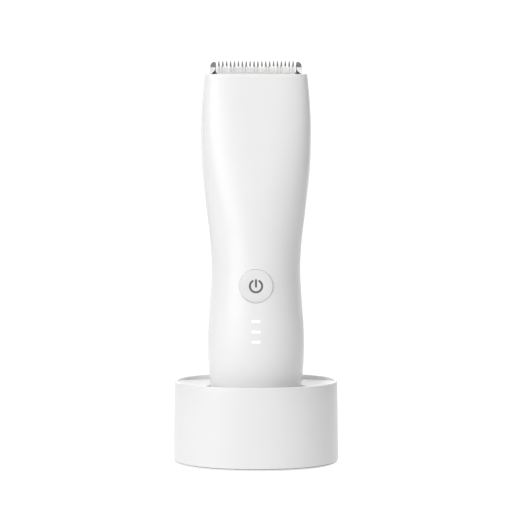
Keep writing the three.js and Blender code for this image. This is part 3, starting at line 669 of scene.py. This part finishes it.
def keep_side(piece, y, keep_front):
    """Cuts a piece by the plane at y and closes the cut."""
    work = bmesh.new()
    work.from_mesh(piece.data)
    bmesh.ops.bisect_plane(
        work,
        geom=work.verts[:] + work.edges[:] + work.faces[:],
        plane_co=(0, y * MM, 0),
        plane_no=(0, 1, 0),
        clear_outer=keep_front,
        clear_inner=not keep_front,
    )
    rim = [edge for edge in work.edges if edge.is_boundary]
    bmesh.ops.triangle_fill(work, edges=rim, use_beauty=True)
    bmesh.ops.recalc_face_normals(work, faces=work.faces)
    work.to_mesh(piece.data)
    work.free()
    return piece


def contact_plug_hole():
    """A plug for the opening in the foot that the contacts' carrier fills."""
    outline = stadium(*PLUG_HOLE)
    return skin("plug_hole", [[(x, y + PIN_Y, z) for x, y in outline] for z in PLUG_HOLE_SPAN])


def make_front_shell():
    piece = keep_side(case_body("case_front"), SEAM - HALF_SEAM, True)
    button_outline = circle(BUTTON_RADIUS + BUTTON_CLEARANCE, BUTTON_POINTS)
    button_hole = front_prism("button_hole", button_outline, *FRONT_CUT, z=BUTTON_HEIGHT)
    slot_outline = stadium(BAR_WIDTH + 2 * BAR_CLEARANCE, BAR_TALL + 2 * BAR_CLEARANCE)
    slots = [front_prism("slot", slot_outline, *FRONT_CUT, z=height) for height in BAR_HEIGHTS]
    carve(piece, button_hole, *slots, contact_plug_hole())
    dress(piece, WHITE, "white_plastic", "handle", "front_shell")


def make_rear_shell():
    piece = keep_side(case_body("case_rear"), SEAM + HALF_SEAM, False)
    dress(piece, WHITE, "white_plastic", "handle", "rear_shell")


# ------------------------------------------------------------------ button and lights

BUTTON_FACE = -(case_value(2, BUTTON_HEIGHT) - BUTTON_SUNK)


def make_button():
    """The button's cap: a flat face with a small rounded edge, and a stem behind it."""
    back = BUTTON_FACE + BUTTON_THICKNESS
    corner = BUTTON_EDGE * CORNER_SHARE
    radii = [
        (BUTTON_RADIUS / 2, BUTTON_FACE),
        (BUTTON_RADIUS - BUTTON_EDGE, BUTTON_FACE),
        (BUTTON_RADIUS - corner, BUTTON_FACE + corner),
        (BUTTON_RADIUS, BUTTON_FACE + BUTTON_EDGE),
        (BUTTON_RADIUS, back),
        (BUTTON_STEM, back),
        (BUTTON_STEM, back + BUTTON_STEM_LENGTH),
    ]
    rings = [[(x, y, z + BUTTON_HEIGHT) for x, z in circle(radius, BUTTON_POINTS)] for radius, y in radii]
    dress(skin("button_cap", rings), BUTTON_GREY, "button_plastic", "power_button", "power_button")


def arc(radius, start, end):
    """Points along a circle about the origin, between two angles."""
    turns = [start + (end - start) * i / ICON_STEPS for i in range(ICON_STEPS + 1)]
    return [(radius * math.cos(turn), radius * math.sin(turn)) for turn in turns]


def round_tip(radius, at, tip, first):
    """Half a circle round the end of the ring's stroke, without its end points."""
    centre = (radius * math.cos(at), radius * math.sin(at))
    turns = [first + math.pi * i / TIP_STEPS for i in range(1, TIP_STEPS)]
    return [(centre[0] + tip * math.cos(turn), centre[1] + tip * math.sin(turn)) for turn in turns]


def make_icon():
    """The generic power sign, set level with the button's face."""
    tip = ICON_STROKE / 2
    start = math.pi / 2 + ICON_HALF_GAP
    end = math.pi * 2.5 - ICON_HALF_GAP
    outline = [
        *arc(ICON_RADIUS + tip, start, end),
        *round_tip(ICON_RADIUS, end, tip, end),
        *arc(ICON_RADIUS - tip, end, start),
        *round_tip(ICON_RADIUS, start, tip, start + math.pi),
    ]
    y0, y1 = BUTTON_FACE - ICON_PROUD, BUTTON_FACE + ICON_DEPTH
    ring_piece = front_prism("icon_ring", outline, y0, y1, z=BUTTON_HEIGHT)
    dress(ring_piece, ICON, "icon_grey", "power_button", "power_icon_ring")
    bar_outline = stadium(ICON_STROKE, ICON_BAR_LENGTH)
    bar = front_prism("icon_bar", bar_outline, y0, y1, z=BUTTON_HEIGHT + ICON_BAR_RISE)
    dress(bar, ICON, "icon_grey", "power_button", "power_icon_bar")


def make_light_bars():
    outline = stadium(BAR_WIDTH, BAR_TALL)
    for number, height in enumerate(BAR_HEIGHTS, start=1):
        face = -(case_value(2, height) - BAR_SUNK)
        bar = front_prism(f"light_bar_{number}", outline, face, BAR_INNER, z=height)
        dress(soften(bar, BAR_EDGE), LIT, "light_pipe", "handle", f"light_pipe_{number}")


# ------------------------------------------------------------------ the dock


def dock_ring(z, inset=0.0, height=None, count=DOCK_POINTS):
    """The dock's outline at a height, drawn in by inset."""
    share = z / DOCK_HEIGHT
    half_width = DOCK_HALF_WIDTH_BASE + (DOCK_HALF_WIDTH_TOP - DOCK_HALF_WIDTH_BASE) * share
    half_depth = half_width * DOCK_DEPTH_RATIO - inset
    level = z if height is None else height
    return ring(half_width - inset, half_depth, half_depth, DOCK_POWER, DOCK_POWER, level, count)


def rim_rings():
    """The rim, from its rounded outer edge over the flat top to its inner wall."""
    rings = []
    for i in range(1, RIM_STEPS + 1):
        turn = i / RIM_STEPS * math.pi / 2
        inset = RIM_ROUND * (1 - math.cos(turn))
        rings.append(dock_ring(DOCK_HEIGHT, inset, DOCK_HEIGHT - RIM_ROUND * (1 - math.sin(turn))))
    corner = RIM_INNER_CORNER
    return rings + [
        dock_ring(DOCK_HEIGHT, RIM_WALL - RIM_INNER_ROUND),
        dock_ring(DOCK_HEIGHT, RIM_WALL - corner, DOCK_HEIGHT - corner),
        dock_ring(DOCK_HEIGHT, RIM_WALL, DOCK_HEIGHT - RIM_INNER_ROUND),
    ]


def make_dock_shell():
    """The tub: outer wall, rim, the ledge that the tray sits on, and inner wall."""
    wall_heights = heights_between(DOCK_WALL_FROM, DOCK_HEIGHT - RIM_ROUND, DOCK_RING_PITCH)
    rings = [
        dock_ring(DOCK_BOTTOM + DOCK_BOTTOM_EDGE),
        *[dock_ring(z) for z in wall_heights],
        *rim_rings(),
        dock_ring(DOCK_HEIGHT, RIM_WALL, LEDGE),
        dock_ring(LEDGE, RIM_WALL + LEDGE_WIDTH),
        dock_ring(LEDGE - LEDGE_DEPTH, WALL),
        dock_ring(DOCK_BOTTOM, WALL),
        dock_ring(DOCK_BOTTOM, DOCK_BOTTOM_EDGE),
    ]
    piece = skin("dock_tub", rings, loop=True)
    carve(piece, front_prism("socket_mouth", stadium(*SOCKET_MOUTH), *BACK_CUT, z=SOCKET_HEIGHT))
    dress(piece, DOCK_WHITE, "white_plastic", "dock", "dock_shell")


def well_ring(z, flare, height=None):
    """The well's outline at a height: the case's own, let out mostly towards the sides."""
    return let_out_ring(z, WELL_CLEARANCE + flare, WELL_CLEARANCE + flare * WELL_FLARE_FRONT, height)


def tray_edge_height(x):
    """The tray meets the rim near its top at the two ends and lower at the front and back."""
    reach = min(abs(x) / DOCK_HALF_WIDTH_TOP, 1.0)
    return DOCK_HEIGHT - TRAY_DROP * (1 - reach**TRAY_END_POWER)


def dish_ring(share):
    """A ring part of the way from the well's mouth (0) to the tray's edge (1)."""
    inner = well_ring(WELL_MOUTH, WELL_FLARE + MOUTH_ROUND)
    outer = dock_ring(DOCK_HEIGHT, RIM_WALL + TRAY_JOINT, count=CASE_POINTS)
    points = []
    for (x, y, _), (edge_x, edge_y, _) in zip(inner, outer):
        rise = tray_edge_height(edge_x) - WELL_MOUTH
        z = WELL_MOUTH + rise * share**DISH_POWER
        points.append((x + (edge_x - x) * share, y + (edge_y - y) * share, z))
    return points


def well_rings(floor_z):
    """The well's inside, from the middle of its floor up to its mouth."""
    rounded_floor = foot_rings(WELL_CLEARANCE, GAP)
    rings = [scaled_ring(rounded_floor[0], WELL_CENTRE_SHARE, floor_z), *rounded_floor]
    for z in heights_between(WELL_FLARE_FROM, WELL_STRAIGHT_TO, WELL_RING_PITCH):
        rise = min(1.0, (z - WELL_FLARE_FROM) / WELL_FLARE_RISE)
        rings.append(well_ring(z, WELL_FLARE * rise**2 * (3 - 2 * rise)))
    rings.append(well_ring(WELL_MOUTH, WELL_FLARE, WELL_MOUTH - MOUTH_ROUND))
    rings.append(well_ring(WELL_MOUTH, WELL_FLARE + TRAY_JOINT, WELL_MOUTH - TRAY_JOINT))
    return rings


def tray_under_rings(floor_z):
    """The tray's underside, from the edge on the ledge down round the well's outer wall."""
    outside = WELL_CLEARANCE + WELL_WALL
    edge_bottom = LEDGE + GAP
    return [
        dock_ring(DOCK_HEIGHT, RIM_WALL + TRAY_JOINT, edge_bottom, CASE_POINTS),
        dock_ring(DOCK_HEIGHT, RIM_WALL + TRAY_EDGE_WIDTH, edge_bottom, CASE_POINTS),
        case_ring(NECK_HIGH, -outside - NECK_HIGH_REACH, WELL_MOUTH - DISH_THICKNESS),
        case_ring(NECK_LOW, -outside - NECK_LOW_REACH),
        case_ring(FOOT + FOOT_ROUND, -outside),
        case_ring(FOOT, WELL_FOOT_INSET - outside),
        case_ring(FOOT, FOOT_ROUND - outside + WELL_FLOOR_INSET, floor_z - WELL_FLOOR_THICKNESS),
    ]


def make_dock_tray():
    """The dished top and the well in one closed skin, with two holes for the charging pins."""
    floor_z = FOOT - GAP
    dish = [dish_ring(step / DISH_STEPS) for step in range(DISH_STEPS + 1)]
    piece = skin("dock_well_tray", well_rings(floor_z) + dish + tray_under_rings(floor_z))
    hole = [(PIN_HOLE_RADIUS, z) for z in (floor_z - PIN_HOLE_BELOW, floor_z + PIN_HOLE_ABOVE)]
    carve(piece, *[turned("pin_hole", hole, x=side * PIN_X, y=PIN_Y) for side in (-1, 1)])
    dress(piece, DOCK_WHITE, "white_plastic", "dock", "dock_tray")


def make_dock_base():
    """The plate under the tub, with a collar inside it, and the rubber pad it stands on."""
    flange_top = DOCK_BOTTOM - FLANGE_GAP
    rings = [
        dock_ring(PLATE_BOTTOM, PLATE_OPENING),
        dock_ring(PLATE_BOTTOM, PLATE_INSET + PLATE_ROUND),
        dock_ring(PLATE_BOTTOM + PLATE_EDGE, PLATE_INSET + PLATE_EDGE),
        dock_ring(PLATE_BOTTOM + PLATE_ROUND, PLATE_INSET),
        dock_ring(flange_top - PLATE_EDGE, PLATE_INSET),
        dock_ring(flange_top, PLATE_INSET + PLATE_EDGE),
        dock_ring(flange_top, WALL + GAP),
        dock_ring(COLLAR_TOP, WALL + GAP),
        dock_ring(COLLAR_TOP, PLATE_OPENING),
    ]
    base = skin("dock_base", rings, loop=True)
    dress(base, DOCK_WHITE, "white_plastic", "dock", "dock_base_plate")
    pad_rings = [dock_ring(0.0, PAD_INSET + inset, z) for inset, z in PAD_PROFILE]
    dress(skin("dock_foot", pad_rings), DARK_RUBBER, "dark_rubber", "dock", "dock_foot_pad")


def make_pins():
    """The two sprung charging pins in the dock and the contacts above them in the handle."""
    for word, side in (("left", -1), ("right", 1)):
        place = {"x": side * PIN_X, "y": PIN_Y}
        pin = turned(f"pin_{word}", PIN_PROFILE, **place)
        dress(pin, GOLD, "gold_contact", f"charge_pin_{word}", f"charge_pin_{word}")
        contact = turned(f"contact_{word}", CONTACT_PROFILE, **place)
        dress(contact, GOLD, "gold_contact", "handle", f"charge_contact_{word}")


# ------------------------------------------------------------------ the blade


def tooth_outline(x, widths):
    """A tooth's outline, up its left side and down its right, from (half-width, height) pairs."""
    left = [(x - half, z) for half, z in widths]
    right = [(x + half, z) for half, z in reversed(widths)]
    return left + right


def tooth_row(count, pitch, widths):
    """The outline of a centred row of teeth."""
    places = [(i - (count - 1) / 2) * pitch for i in range(count)]
    return [point for x in places for point in tooth_outline(x, widths)]


def guard_outline(side):
    """One end guard, from the last tooth gap over its rounded shoulder and down its outer edge."""
    points = [
        (GUARD_INNER, COMB_ROOT),
        (GUARD_INNER, GUARD_TOP - 1.6),
        (GUARD_INNER + 0.1, GUARD_TOP - 0.7),
        (GUARD_INNER + 0.3, GUARD_TOP - 0.2),
    ]
    for i in range(GUARD_STEPS + 1):
        turn = math.pi / 2 * (1 - i / GUARD_STEPS)
        across = COMB_HALF_WIDTH - GUARD_ROUND * (1 - math.cos(turn))
        points.append((across, GUARD_TOP - GUARD_ROUND * (1 - math.sin(turn))))
    points += [
        (COMB_HALF_WIDTH, COMB_SHOULDER),
        (COMB_TANG_INNER, COMB_SHOULDER),
        (COMB_TANG_INNER, COMB_BOTTOM),
    ]
    return [(side * x, z) for x, z in points]


def side_prism(name, outline, x0, x1):
    """A closed extrusion along X of an outline in Y and Z."""
    return skin(name, [[(x, y, z) for y, z in outline] for x in (x0, x1)])


def guard_facet(side):
    """The front of one end guard: it slopes forwards and down, and is open over the pillar."""
    back = COMB_FRONT + FACET_ROOT
    bottom = COMB_SHOULDER + FACET_SHY
    wedge = side_prism("guard_facet", [
        (back, bottom),
        (FACET_REACH, bottom),
        (FACET_REACH, FACET_FOOT),
        (COMB_FRONT, FACET_TOP),
        (back, FACET_TOP),
    ], side * FACET_INNER, side * (COMB_HALF_WIDTH - FACET_SHY))
    slope = (PILLAR_HIGH - PILLAR_LOW) / (PILLAR_OUTER - PILLAR_INNER)
    lift = GAP * math.hypot(1, slope)
    inner, outer = PILLAR_INNER - 1, PILLAR_OUTER + GAP
    opening = [
        (side * inner, COMB_SHOULDER - 1),
        (side * outer, COMB_SHOULDER - 1),
        (side * outer, PILLAR_LOW + (PILLAR_OUTER - outer) * slope + lift),
        (side * inner, PILLAR_LOW + (PILLAR_OUTER - inner) * slope + lift),
    ]
    carve(wedge, front_prism("opening", opening, FACET_REACH - 1, COMB_FRONT))
    return soften(wedge, COMB_EDGE)


def make_comb():
    """The steel comb: pointed teeth ground thin at the back, and a guard at each end."""
    teeth = tooth_row(COMB_TEETH, COMB_PITCH, SPEAR)
    outline = guard_outline(-1)[::-1] + teeth + guard_outline(1)
    plate = front_prism("comb_plate", outline[::-1], COMB_FRONT, COMB_BACK)
    grind_foot = COMB_ROOT - 0.4
    grind_top = COMB_TIP + 0.3
    grind = side_prism("comb_bevel", [
        (COMB_BACK + 0.5, grind_foot),
        (COMB_BACK, grind_foot),
        (COMB_TIP_BACK, grind_top),
        (COMB_BACK + 1.3, grind_top),
    ], -GRIND_REACH, GRIND_REACH)
    hole = circle(COMB_SCREW_RADIUS, 32)
    holes = [
        front_prism("comb_hole", hole, COMB_FRONT - 1.5, COMB_BACK + 1.3, x=x, z=COMB_SCREW_HEIGHT)
        for x in (-COMB_SCREW_X, COMB_SCREW_X)
    ]
    carve(plate, grind, *holes)
    soften(plate, COMB_EDGE, 1)
    join(plate, guard_facet(-1), guard_facet(1))
    dress(plate, STEEL, "blade_steel", "blade_head", "fixed_comb", angle=BLADE_SMOOTH_BELOW)


def make_cutter():
    """The ceramic cutter: a flat plate with a row of blunt teeth, trimmed at both ends."""
    half = CUTTER_HALF_WIDTH
    shoulder = CUTTER_ROOT - CUTTER_SHOULDER_DROP
    teeth = [(max(-half, min(half, x)), z) for x, z in tooth_row(CUTTER_TEETH, CUTTER_PITCH, BLUNT)]
    outline = [
        (-half, CUTTER_BOTTOM),
        (-half, shoulder),
        *teeth,
        (half, shoulder),
        (half, CUTTER_BOTTOM),
    ]
    plate = front_prism("cutter_plate", outline[::-1], CUTTER_FRONT, CUTTER_BACK)
    soften(plate, CUTTER_EDGE)
    dress(plate, CERAMIC, "ceramic", "cutter", "ceramic_cutter", angle=BLADE_SMOOTH_BELOW)


# ------------------------------------------------------------------ stage, light and camera, in metres

WORLD_STRENGTH = 0.2
FLOOR_SIZE = 6.0
FLOOR_CENTRE = 0.4
FLOOR_GLOW = (0.985, 0.5)
FLOOR_FADE = (0.28, 0.45)
FLOOR_FADE_LEAN = 0.2
BACKDROP_CENTRE = (0.0, 2.2, 0.6)
BACKDROP_SIZE = (6.0, 3.0)
BACKDROP_GLOW = 1.1

# Name, place, target, width and height, watts.
LAMPS = (
    ("key", (-0.92, -0.92, 0.78), (0, 0, 0.45), (0.78, 1.5), 10.4),
    ("key_edge", (-0.53, -1.19, 0.78), (0, 0, 0.45), (0.45, 1.5), 3.2),
    ("fill", (-0.1, -1.4, 0.9), (0, 0, 0.3), (1.0, 1.2), 2.2),
    ("top", (0, -0.3, 1.6), (0, -0.3, 0), (1.2, 1.2), 11.0),
    ("top_back", (0, 1.1, 1.5), (0, 0, 0.05), (1.0, 0.8), 14.0),
)

CAMERA_PLACE = (0.0, -0.580, 0.0954)
CAMERA_TARGET = (0.0, 0.0, 0.0820)
CAMERA_LENS = 101.95
CAMERA_SENSOR = 36.0


def emitter(name, colour, strength):
    """A plain glowing material for a stage card."""
    material = bpy.data.materials.new(name)
    material.use_nodes = True
    tree = material.node_tree
    tree.nodes.clear()
    glow = tree.nodes.new("ShaderNodeEmission")
    glow.inputs["Color"].default_value = (*colour, 1.0)
    glow.inputs["Strength"].default_value = strength
    out = tree.nodes.new("ShaderNodeOutputMaterial")
    tree.links.new(glow.outputs["Emission"], out.inputs["Surface"])
    return material


def card(name, centre, width, height, facing, material):
    """A flat stage card, turned to face a point; all in metres."""
    mesh = bpy.data.meshes.new(name)
    w, h = width / 2, height / 2
    mesh.from_pydata([(-w, -h, 0), (w, -h, 0), (w, h, 0), (-w, h, 0)], [], [(0, 1, 2, 3)])
    piece = bpy.data.objects.new(name, mesh)
    bpy.context.scene.collection.objects.link(piece)
    piece.location = centre
    piece.rotation_euler = (Vector(facing) - Vector(centre)).to_track_quat("Z", "Y").to_euler()
    mesh.materials.append(material)


def area_light(name, place, target, size, power):
    """A rectangular lamp aimed at a point, in metres and watts."""
    light = bpy.data.lights.new(name, "AREA")
    light.shape = "RECTANGLE"
    light.size, light.size_y = size
    light.energy = power
    lamp = bpy.data.objects.new(name, light)
    lamp.location = place
    lamp.rotation_euler = (Vector(target) - Vector(place)).to_track_quat("-Z", "Y").to_euler()
    bpy.context.scene.collection.objects.link(lamp)


def floor_material():
    """Pale floor that glows along the line of view and fades to grey far out on both sides."""
    material, links, shader, add = new_material("floor")
    cloud = speckle(links, add, 3.0)
    colour = tint(links, add, cloud.outputs["Fac"], (0.03, 0.03, 0.03), (0.04, 0.04, 0.04))
    links.new(colour, shader.inputs["Base Color"])
    shader.inputs["Roughness"].default_value = 0.9
    shader.inputs["Emission Color"].default_value = (1.0, 1.0, 1.0, 1.0)
    where = add("ShaderNodeTexCoord")
    split = add("ShaderNodeSeparateXYZ")
    across = add("ShaderNodeMath")
    across.operation = "ABSOLUTE"
    aside = add("ShaderNodeMath")
    aside.operation = "MULTIPLY_ADD"
    aside.inputs[1].default_value = FLOOR_FADE_LEAN
    fade = add("ShaderNodeMapRange")
    fade.interpolation_type = "SMOOTHSTEP"
    for socket, value in zip(("From Min", "From Max", "To Min", "To Max"), FLOOR_FADE + FLOOR_GLOW):
        fade.inputs[socket].default_value = value
    links.new(where.outputs["Object"], split.inputs["Vector"])
    links.new(split.outputs["X"], across.inputs[0])
    links.new(split.outputs["Y"], aside.inputs[0])
    links.new(across.outputs["Value"], aside.inputs[2])
    links.new(aside.outputs["Value"], fade.inputs["Value"])
    links.new(fade.outputs["Result"], shader.inputs["Emission Strength"])
    return material


def make_stage():
    centre = (0.0, FLOOR_CENTRE, 0.0)
    above = (0.0, FLOOR_CENTRE, 1.0)
    card("floor", centre, FLOOR_SIZE, FLOOR_SIZE, above, floor_material())
    ahead = (0.0, -1.0, BACKDROP_CENTRE[2])
    white = emitter("backdrop_white", (1, 1, 1), BACKDROP_GLOW)
    card("backdrop", BACKDROP_CENTRE, *BACKDROP_SIZE, ahead, white)


def make_lights():
    world = bpy.data.worlds.new("studio")
    bpy.context.scene.world = world
    world.use_nodes = True
    background = world.node_tree.nodes["Background"]
    background.inputs["Color"].default_value = (1.0, 1.0, 1.0, 1.0)
    background.inputs["Strength"].default_value = WORLD_STRENGTH
    for lamp in LAMPS:
        area_light(*lamp)


def make_camera():
    camera = bpy.data.cameras.new("camera")
    camera.sensor_width = CAMERA_SENSOR
    camera.lens = CAMERA_LENS
    holder = bpy.data.objects.new("camera", camera)
    holder.location = CAMERA_PLACE
    look = Vector(CAMERA_TARGET) - Vector(CAMERA_PLACE)
    holder.rotation_euler = look.to_track_quat("-Z", "Y").to_euler()
    bpy.context.scene.collection.objects.link(holder)
    bpy.context.scene.camera = holder


# ------------------------------------------------------------------ build

paint_frame()
make_front_shell()
make_rear_shell()
make_button()
make_icon()
make_light_bars()
make_dock_shell()
make_dock_tray()
make_dock_base()
make_pins()
make_comb()
make_cutter()
make_stage()
make_lights()
make_camera()
bpy.context.scene.view_settings.view_transform = "Standard"
